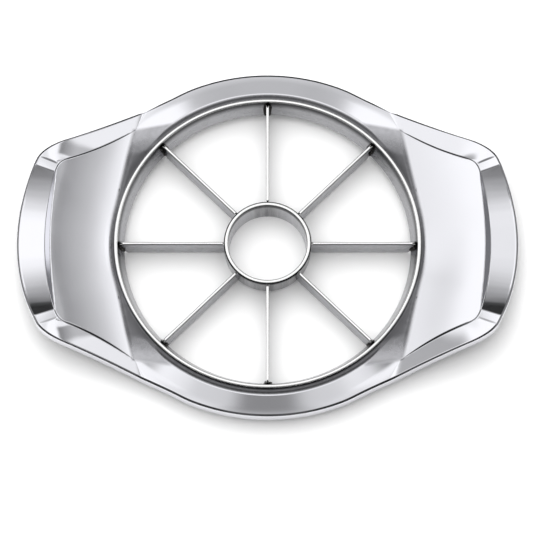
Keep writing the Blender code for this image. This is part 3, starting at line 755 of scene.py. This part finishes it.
shine = (POLISH_ROUGHNESS, POLISH_ROUGHNESS, POLISH_ROUGHNESS, 1.0)
feed(polish_highlight_top, mix(polish_highlight_top, polish_highlight, given["Roughness"], shine), made["Roughness"])
feed(polish_highlight_top, polish_highlight, made["Polish highlight"])

# Reach: a mask that goes from 0 to 1 as the distance from the Z axis goes from one value to another.
reach_mask, given, made = node_group("reach_mask", (("From", "Float"), ("To", "Float")), (("Mask", "Float"),))
flat = reach_mask.nodes.new("ShaderNodeVectorMath")
flat.operation = "MULTIPLY"
flat.inputs[1].default_value = (1.0, 1.0, 0.0)
feed(reach_mask, reach_mask.nodes.new("ShaderNodeTexCoord").outputs["Object"], flat.inputs[0])
length = reach_mask.nodes.new("ShaderNodeVectorMath")
length.operation = "LENGTH"
feed(reach_mask, flat.outputs["Vector"], length.inputs[0])
feed(reach_mask, map_range(reach_mask, length.outputs["Value"], given["From"], given["To"]), made["Mask"])


def top_finish(tree, top, colour, roughness, painted_shade, polish_highlight, painted_shade_share=1.0, polish_highlight_share=1.0):
    """Polished top in a material: the painted shade and the polish with its painted highlight each start
    and end at two depths below the top.
    """
    return placed(tree, polish_highlight_top, {
        "Colour": colour, "Roughness": roughness,
        "Painted shade low": top - painted_shade[0], "Painted shade high": top - painted_shade[1], "Painted shade share": painted_shade_share,
        "Polish low": top - polish_highlight[0], "Polish high": top - polish_highlight[1], "Polish share": polish_highlight_share,
    })


def inside_of(tree, radius, depths):
    """Mask that goes from 0 to 1 between two distances inside a radius."""
    return placed(tree, reach_mask, {"From": radius - depths[0], "To": radius - depths[1]})["Mask"]


def beside_blades(tree):
    """Distance round the ring, in metres at the hoop's neck, to the nearest blade's middle plane."""
    place = own_place(tree)
    turn = math_node(tree, "ARCTAN2", place["Y"], place["X"])
    number = math_node(tree, "MULTIPLY", turn, BLADE_COUNT / (2 * math.pi))
    offset = math_node(tree, "SUBTRACT", number, math_node(tree, "ROUND", number))
    spacing = HOOP_NECK * 2 * math.pi / BLADE_COUNT
    return math_node(tree, "MULTIPLY", math_node(tree, "ABSOLUTE", offset), spacing)


def flat_profile(rows):
    """Closed section of (radius, height, trim) with its corners rounded, as rows of (radius, height)."""
    corners = [(np.array([radius]), np.array([height]), trim) for radius, height, trim in rows]
    return rounded(corners)[:, :2, 0]


def ring_points(rows, turns):
    """Rounded section turned once round the Z axis in equal steps."""
    profile = flat_profile(rows)
    angle = np.arange(turns) * 2 * math.pi / turns
    points = np.empty((turns, len(profile), 3))
    points[:, :, 0] = np.cos(angle)[:, None] * profile[:, 0]
    points[:, :, 1] = np.sin(angle)[:, None] * profile[:, 0]
    points[:, :, 2] = profile[:, 1]
    return points


hoop_steel, hoop_tree, hoop_shader = metal("hoop_steel", STEEL_COLOUR, STEEL_ROUGHNESS)
hoop_wear = map_range(hoop_tree, noise(hoop_tree, HOOP_WEAR_CELLS, HOOP_WEAR_DETAIL), *GRAIN_SPAN,
                      STEEL_ROUGHNESS - HOOP_WEAR, STEEL_ROUGHNESS + HOOP_WEAR)
# The rim's top gets a painted highlight, and painted shade darkens the wall's inner face below it.
hoop_top = top_finish(hoop_tree, RIM_TOP, (*STEEL_COLOUR, 1.0), hoop_wear, HOOP_SHADE, HOOP_POLISH_HIGHLIGHT,
                      painted_shade_share=inside_of(hoop_tree, HOOP_RIM_OUTER, HOOP_SHADE_INSIDE))
# Darker beside each blade, with a frayed edge, except where the top is polished.
fray = math_node(hoop_tree, "MULTIPLY", noise(hoop_tree, DARK_BESIDE_BLADE_CELLS), DARK_BESIDE_BLADE_FRAY)
dark_beside_blade = map_range(hoop_tree, math_node(hoop_tree, "ADD", beside_blades(hoop_tree), fray), *DARK_BESIDE_BLADE_WIDTH)
dark_beside_blade = math_node(hoop_tree, "MULTIPLY", dark_beside_blade, math_node(hoop_tree, "SUBTRACT", 1.0, hoop_top["Polish highlight"]))
darkened_beside_blades = mix(hoop_tree, dark_beside_blade, hoop_top["Colour"], (*DARK_BESIDE_BLADE_COLOUR, 1.0))
hoop_scratches = noise(hoop_tree, HOOP_SCRATCH_CELLS, SCRATCH_DETAIL)
set_finish(hoop_tree, hoop_shader, darkened_beside_blades, hoop_top["Roughness"], hoop_scratches, SCRATCH_DEPTH)

hoop_rows = [
    (HOOP_NECK, RIM_TOP - HOOP_DEPTH, 0.2 * MM),
    (HOOP_RIM_INNER - 0.15 * MM, RIM_TOP - HOOP_RIM_DEPTH, 0.5 * MM),
    (HOOP_RIM_INNER + 0.05 * MM, RIM_TOP, 0.3 * MM),
    (HOOP_RIM_OUTER - 0.05 * MM, RIM_TOP, 0.3 * MM),
    (HOOP_RIM_OUTER, RIM_TOP - HOOP_RIM_DEPTH, 0.3 * MM),
    (HOOP_RIM_OUTER - 0.6 * MM, RIM_TOP - HOOP_RIM_DEPTH - 0.1 * MM, 0.2 * MM),
    (HOOP_NECK + HOOP_WALL, RIM_TOP - HOOP_DEPTH, 0.2 * MM),
]
hoop = add_surface("hoop", ring_points(hoop_rows, HOOP_TURNS), hoop_steel, sharp=50.0)
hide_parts("blade_hoop")


# Core ring: a short steel tube that cuts out the core. Its polished rim is rolled outwards over the
# ends of the blades, and its foot is ground. A painted highlight lightens the rim's top, and painted
# shade darkens the rest of the rim and a band below it. The drawing die has left upright streaks in
# the bore, and painted light makes the bore paler at the sides.
CORE_BORE = 12.75 * MM
CORE_MOUTH = 13.2 * MM
CORE_OUTSIDE = 14.4 * MM
CORE_RIM = 14.67 * MM
CORE_RIM_DEPTH = 1.1 * MM
CORE_GRIND = 1.8 * MM
CORE_EDGE = 0.35 * MM
CORE_TURNS = 360
CORE_SHADE = (2.3 * MM, 1.3 * MM)
CORE_POLISH_HIGHLIGHT = (0.12 * MM, 0.05 * MM)
CORE_POLISH_HIGHLIGHT_INSIDE = (0.40 * MM, 0.50 * MM)
DARK_STREAK = (0.24, 0.24, 0.25)
LIGHT_STREAK = (0.46, 0.46, 0.47)
BORE_SIDE_LIGHT = (0.54, 0.54, 0.56)
BORE_SIDE_FROM = (1.0 * MM, 8.0 * MM)
# Distances inside the mouth's radius, negative because the wall's middle lies outside it.
BORE_ONLY = (-0.7 * MM, -0.5 * MM)
STREAK_CELLS = (330.0, 330.0, 12.0)
STREAK_DETAIL = 4.0
STREAK_BREAKUP = 0.6
STREAK_SPAN = (0.35, 0.68)
STREAK_ROUGHNESS = (STEEL_ROUGHNESS + 0.04, STEEL_ROUGHNESS - 0.08)
CORE_SCRATCH_CELLS = (1400.0, 1400.0, 30.0)

core_steel, core_tree, core_shader = metal("core_steel", STEEL_COLOUR, STEEL_ROUGHNESS)
streaks = noise(core_tree, STREAK_CELLS, STREAK_DETAIL, STREAK_BREAKUP)
streak_share = map_range(core_tree, streaks, *STREAK_SPAN)
bore_colour = mix(core_tree, streak_share, (*DARK_STREAK, 1.0), (*LIGHT_STREAK, 1.0))
# Painted light: the bore is paler towards its sides along X.
at_side = map_range(core_tree, math_node(core_tree, "ABSOLUTE", own_place(core_tree)["X"]), *BORE_SIDE_FROM)
at_side = math_node(core_tree, "MULTIPLY", at_side, inside_of(core_tree, CORE_MOUTH, BORE_ONLY))
bore_colour = mix(core_tree, at_side, bore_colour, (*BORE_SIDE_LIGHT, 1.0))
bore_roughness = map_range(core_tree, streaks, *GRAIN_SPAN, *STREAK_ROUGHNESS)
# The inner part of the rim's top gets a painted highlight; painted shade darkens the rest of the rim and a
# band below it.
core_top = top_finish(core_tree, RIM_TOP, bore_colour, bore_roughness, CORE_SHADE, CORE_POLISH_HIGHLIGHT,
                      polish_highlight_share=inside_of(core_tree, CORE_RIM, CORE_POLISH_HIGHLIGHT_INSIDE))
core_scratches = noise(core_tree, CORE_SCRATCH_CELLS, SCRATCH_DETAIL)
set_finish(core_tree, core_shader, core_top["Colour"], core_top["Roughness"], core_scratches, SCRATCH_DEPTH)

core_rows = [
    (CORE_BORE, 0.0, 0.05 * MM),
    (CORE_MOUTH - 0.05 * MM, RIM_TOP - CORE_RIM_DEPTH, 0.3 * MM),
    (CORE_MOUTH, RIM_TOP, 0.3 * MM),
    (CORE_RIM - 0.05 * MM, RIM_TOP, 0.5 * MM),
    (CORE_RIM, RIM_TOP - CORE_RIM_DEPTH, 0.35 * MM),
    (CORE_OUTSIDE, RIM_TOP - CORE_RIM_DEPTH - 0.1 * MM, 0.1 * MM),
    (CORE_OUTSIDE, CORE_GRIND, 0.3 * MM),
    (CORE_BORE + CORE_EDGE, 0.0, 0.05 * MM),
]
core = add_surface("core_tube", ring_points(core_rows, CORE_TURNS), core_steel, sharp=50.0)
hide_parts("core_ring")


# Blades: eight stamped steel strips from the core ring to the hoop, each with a rounded top edge, a
# ground cutting edge below, and a small hump where its end is pinched into the core's rim.
BLADE_HALF = 0.5 * MM
BLADE_TOP = RIM_TOP - 0.6 * MM
BLADE_TOP_ROUND = 0.26 * MM
BLADE_EDGE_HALF = 0.08 * MM
BLADE_EDGE_ROUND = 0.02 * MM
BLADE_GRIND = 1.8 * MM
BLADE_GRIND_ROUND = 0.3 * MM
BLADE_CORE_END = 13.95 * MM
BLADE_PINCH_DEPTH = 2.0 * MM
BLADE_TOP_END = 48.3 * MM
BLADE_TOP_CORNER = 1.2 * MM
BLADE_HUMP = 0.5 * MM
BLADE_HUMP_AT = 14.3 * MM
BLADE_HUMP_HALF = 0.9 * MM
BLADE_TAB_IN_WALL = 0.4 * MM
BLADE_FOOT_INSIDE = 0.1 * MM
BLADE_FOOT_LEAN = 0.25
BLADE_STEPS = 90
BLADE_END_STEPS = 4
BLADE_END_WIDTH = 0.65
BLADE_COLOUR = (0.40, 0.40, 0.42)
GROUND_COLOUR = (0.55, 0.55, 0.56)
WATER_MARK = (0.27, 0.27, 0.28)
WATER_MARK_SHARE = 0.35
WATER_MARK_CELLS = (160.0, 160.0, 500.0)
BLADE_SHADE = (0.7 * MM, 0.35 * MM)
BLADE_POLISH_HIGHLIGHT = (0.16 * MM, 0.08 * MM)
GRIND_BLUR = 0.1 * MM
BLADE_ROUGHNESS = 0.28
BLADE_WEAR = 0.05
BLADE_WEAR_CELLS = (300.0, 300.0, 900.0)
BLADE_SCRATCH_CELLS = (90.0, 90.0, 3000.0)
BLADE_SCRATCH_DEPTH = 0.0006 * MM

blade_steel, blade_tree, blade_shader = metal("blade_steel", BLADE_COLOUR, BLADE_ROUGHNESS)
ground = map_range(blade_tree, own_place(blade_tree)["Z"], BLADE_GRIND + GRIND_BLUR, BLADE_GRIND - GRIND_BLUR)
marks = map_range(blade_tree, noise(blade_tree, WATER_MARK_CELLS), *GRAIN_SPAN, 0.0, WATER_MARK_SHARE)
blade_colour = mix(blade_tree, ground, (*BLADE_COLOUR, 1.0), (*GROUND_COLOUR, 1.0))
blade_colour = mix(blade_tree, marks, blade_colour, (*WATER_MARK, 1.0))
blade_wear = map_range(blade_tree, noise(blade_tree, BLADE_WEAR_CELLS), *GRAIN_SPAN,
                       BLADE_ROUGHNESS - BLADE_WEAR, BLADE_ROUGHNESS + BLADE_WEAR)
# The top edge gets a painted highlight, with a band of painted shade just below it.
blade_top = top_finish(blade_tree, BLADE_TOP, blade_colour, blade_wear, BLADE_SHADE, BLADE_POLISH_HIGHLIGHT)
blade_scratches = noise(blade_tree, BLADE_SCRATCH_CELLS, SCRATCH_DETAIL)
set_finish(blade_tree, blade_shader, blade_top["Colour"], blade_top["Roughness"], blade_scratches,
           BLADE_SCRATCH_DEPTH)


def hoop_wall(height):
    """Inner face of the hoop's wall: its radius at a height, on a straight line from rim to neck."""
    share = (RIM_TOP - HOOP_RIM_DEPTH / 2 - height) / (HOOP_DEPTH - HOOP_RIM_DEPTH / 2)
    return HOOP_RIM_INNER + (HOOP_NECK - HOOP_RIM_INNER) * share


def on_ray(turn, reach, across, height):
    """Points at a distance along the ray at turn, and at another to its left."""
    x = reach * math.cos(turn) - across * math.sin(turn)
    y = reach * math.sin(turn) + across * math.cos(turn)
    return np.stack([x, y, height + 0 * x], axis=-1)


def blade_points(turn):
    """Blade on the ray at turn: a closed section carried from the core's rim to the hoop's wall, in
    steps that a cosine draws together at both ends. The ends slim as a quarter circle does, the outer
    top corner is a quarter ellipse, and the hump is (1 - square) squared along the blade."""
    half, edge = BLADE_HALF, BLADE_EDGE_HALF
    corners = [(-edge, 0.0, BLADE_EDGE_ROUND), (edge, 0.0, BLADE_EDGE_ROUND),
               (half, BLADE_GRIND, BLADE_GRIND_ROUND), (half, BLADE_TOP, BLADE_TOP_ROUND),
               (-half, BLADE_TOP, BLADE_TOP_ROUND), (-half, BLADE_GRIND, BLADE_GRIND_ROUND)]
    side, height = flat_profile(corners).T
    pinched_from = BLADE_TOP - BLADE_PINCH_DEPTH
    near = np.where(height > pinched_from, BLADE_CORE_END, CORE_OUTSIDE - BLADE_TAB_IN_WALL)
    below_hoop = RIM_TOP - HOOP_DEPTH - height
    foot = HOOP_NECK - BLADE_FOOT_INSIDE - BLADE_FOOT_LEAN * below_hoop
    far = np.where(below_hoop > 0, foot, hoop_wall(height) + BLADE_TAB_IN_WALL)
    corner = np.clip((height - (BLADE_TOP - BLADE_TOP_CORNER)) / BLADE_TOP_CORNER, 0.0, 1.0)
    far = far + (BLADE_TOP_END - far) * (1 - np.sqrt(1 - corner ** 2))
    share = (1 - np.cos(np.linspace(0.0, math.pi, BLADE_STEPS)))[:, None] / 2
    reach = near + (far - near) * share
    from_end = np.minimum(np.linspace(0.0, 1.0, BLADE_STEPS), np.linspace(1.0, 0.0, BLADE_STEPS))
    from_end = np.clip(from_end * BLADE_STEPS / BLADE_END_STEPS, 0.0, 1.0)
    slim = BLADE_END_WIDTH + (1 - BLADE_END_WIDTH) * np.sqrt(from_end * (2 - from_end))[:, None]
    hump = np.clip(1 - ((reach - BLADE_HUMP_AT) / BLADE_HUMP_HALF) ** 2, 0.0, 1.0) ** 2
    lift = BLADE_HUMP * hump * np.clip((height - pinched_from) / BLADE_PINCH_DEPTH, 0.0, 1.0)
    return on_ray(turn, reach, side * slim, height + lift)


for number in range(1, BLADE_COUNT + 1):
    turn = (number - 1) * 2 * math.pi / BLADE_COUNT
    blade = add_surface("wedge_blade_%d" % number, blade_points(turn), blade_steel,
                        closed_along=False, sharp=40.0)
    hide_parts("blade_%d" % number)


# Weld beads: a lump of scaled weld metal in the corner at either side of each blade's outer end. Left
# as it cooled: nearly black and rough, with small bright specks that are painted glints.
BEAD_TOP = RIM_TOP - 1.3 * MM
BEAD_FOOT = RIM_TOP - 5.9 * MM
BEAD_RADIUS = 0.62 * MM
BEAD_OFF_WALL = 0.25 * MM
BEAD_OFF_BLADE = 0.2 * MM
BEAD_SPAN = (0.02, 0.98)
BEAD_FULLNESS = 0.45
BEAD_STEPS = 40
BEAD_SIDES = 28
BEAD_WAVES = ((2, 1, 0.18), (3, 2, 0.14), (5, 3, 0.09), (7, 5, 0.06))
BEAD_WAVE_TURN = 3
BEAD_SIDE_PHASE = 0.37
SCALE_COLOUR = (0.03, 0.028, 0.026)
SCALE_ROUGHNESS = (0.35, 0.75)
SCALE_CELLS = (1800.0, 1800.0, 1800.0)
PAINTED_GLINT_COLOUR = (0.42, 0.41, 0.40)
PAINTED_GLINT_CELLS = (2600.0, 2600.0, 2600.0)
PAINTED_GLINT_DETAIL = 2.0
PAINTED_GLINT_SPAN = (0.62, 0.72)
PIT_CELLS = (2200.0, 2200.0, 2200.0)
PIT_DETAIL = 4.0
PIT_DEPTH = 0.12 * MM

weld_scale, bead_tree, bead_shader = metal("weld_scale", SCALE_COLOUR, sum(SCALE_ROUGHNESS) / 2)
# Painted glints: bright specks mixed into the scale's colour.
painted_glints = map_range(bead_tree, noise(bead_tree, PAINTED_GLINT_CELLS, PAINTED_GLINT_DETAIL), *PAINTED_GLINT_SPAN)
bead_colour = mix(bead_tree, painted_glints, (*SCALE_COLOUR, 1.0), (*PAINTED_GLINT_COLOUR, 1.0))
bead_roughness = map_range(bead_tree, noise(bead_tree, SCALE_CELLS), *GRAIN_SPAN, *SCALE_ROUGHNESS)
pits = noise(bead_tree, PIT_CELLS, PIT_DETAIL)
set_finish(bead_tree, bead_shader, bead_colour, bead_roughness, pits, PIT_DEPTH)


def bead_points(turn, side, phase):
    """Bead: an upright rod beside the blade whose radius is a low power of a half sine, times 1 plus a
    few waves of (times round, times up, size)."""
    share = np.linspace(*BEAD_SPAN, BEAD_STEPS)[:, None]
    around = np.arange(BEAD_SIDES)[None, :] * 2 * math.pi / BEAD_SIDES
    waves = sum(size * np.sin(bands * around + knots * BEAD_WAVE_TURN * share + phase * (bands + knots))
                for bands, knots, size in BEAD_WAVES)
    thick = BEAD_RADIUS * np.sin(math.pi * share) ** BEAD_FULLNESS * (1 + waves)
    height = BEAD_FOOT + (BEAD_TOP - BEAD_FOOT) * share
    reach = hoop_wall(height) - BEAD_OFF_WALL + thick * np.cos(around)
    across = side * (BLADE_HALF + BEAD_OFF_BLADE) + thick * np.sin(around)
    return on_ray(turn, reach, across, height)


for number in range(1, BLADE_COUNT + 1):
    turn = (number - 1) * 2 * math.pi / BLADE_COUNT
    for side, hand in ((-1, "right"), (1, "left")):
        points = bead_points(turn, side, number + BEAD_SIDE_PHASE * side)
        bead = add_surface("bead_%d_%s" % (number, hand), points, weld_scale, closed_along=False)
        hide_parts("weld_%d_%s" % (number, hand))
